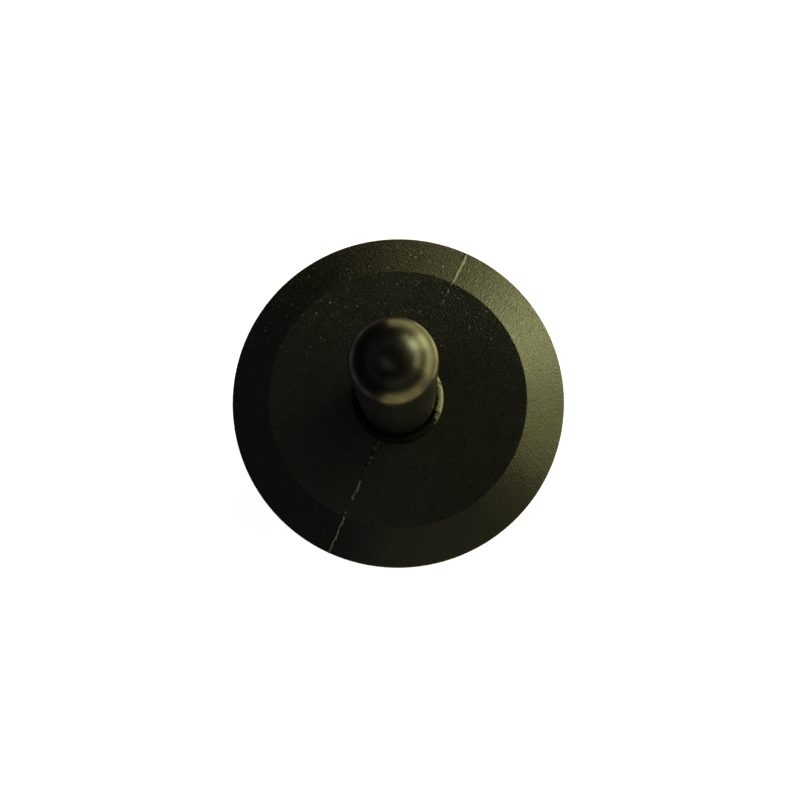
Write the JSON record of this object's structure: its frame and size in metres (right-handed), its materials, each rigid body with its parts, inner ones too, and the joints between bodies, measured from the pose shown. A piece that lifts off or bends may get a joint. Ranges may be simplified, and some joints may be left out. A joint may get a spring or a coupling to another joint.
{
  "type": "security tag detacher",
  "caption": "Hand-held magnetic tag detacher: waisted two-shell handle with a chamfered round flange and a sprung, domed probe full of magnets.",
  "frame": {"origin": "centre of the underside of the rubber foot on which the tool stands", "axes": "+Z along the tool from the foot to the probe's tip; the half shells meet on the plane x = 0; +Y towards the tether lug"},
  "size_m": [0.05, 0.05, 0.1106],
  "materials": {
    "shell_black": "spark-eroded, matte black",
    "bush_black": "turned, satin black",
    "probe_black": "smooth, satin black",
    "cap_black": "fine matte black",
    "rubber_black": "matte",
    "magnet_nickel": "nickel plated",
    "pole_steel": "turned",
    "stem_steel": "ground",
    "spring_steel": "drawn wire",
    "barrel_aluminium": "turned",
    "plug_black": "turned acetal",
    "bush_bronze": "sintered bronze",
    "insert_brass": "turned brass",
    "screw_steel": "blackened steel",
    "eyelet_steel": "nickel plated, rolled"
  },
  "bodies": {
    "handle": {"left_shell": "shell_black", "right_shell": "shell_black", "guide_bush": "bush_black", "return_spring": "spring_steel", "barrel_tube": "barrel_aluminium", "back_plug": "plug_black", "stem_bush": "bush_bronze", "spring_seat": "stem_steel", "thread_inserts": "insert_brass", "shell_screws": "screw_steel", "dowel_pins": "stem_steel", "end_cap": "cap_black", "tether_eyelet": "eyelet_steel", "cap_screws": "screw_steel", "foot_pad": "rubber_black"},
    "probe": {"probe_sleeve": "probe_black", "pole_tip": "pole_steel", "probe_magnet_1": "magnet_nickel", "probe_magnet_2": "magnet_nickel", "probe_magnet_3": "magnet_nickel", "pole_disc_1": "pole_steel", "pole_disc_2": "pole_steel", "magnet_pad": "rubber_black", "probe_stem": "stem_steel", "guide_pin": "stem_steel", "bumper_ring": "rubber_black"}
  },
  "joints": [
    {"name": "probe_slide", "type": "slide", "parent": "handle", "child": "probe", "axis": [0, 0, 1], "range_m": [-0.01, 0], "stiffness_N_per_m": 600, "springref_m": 0.008, "deforming": ["return_spring"]}
  ]
}
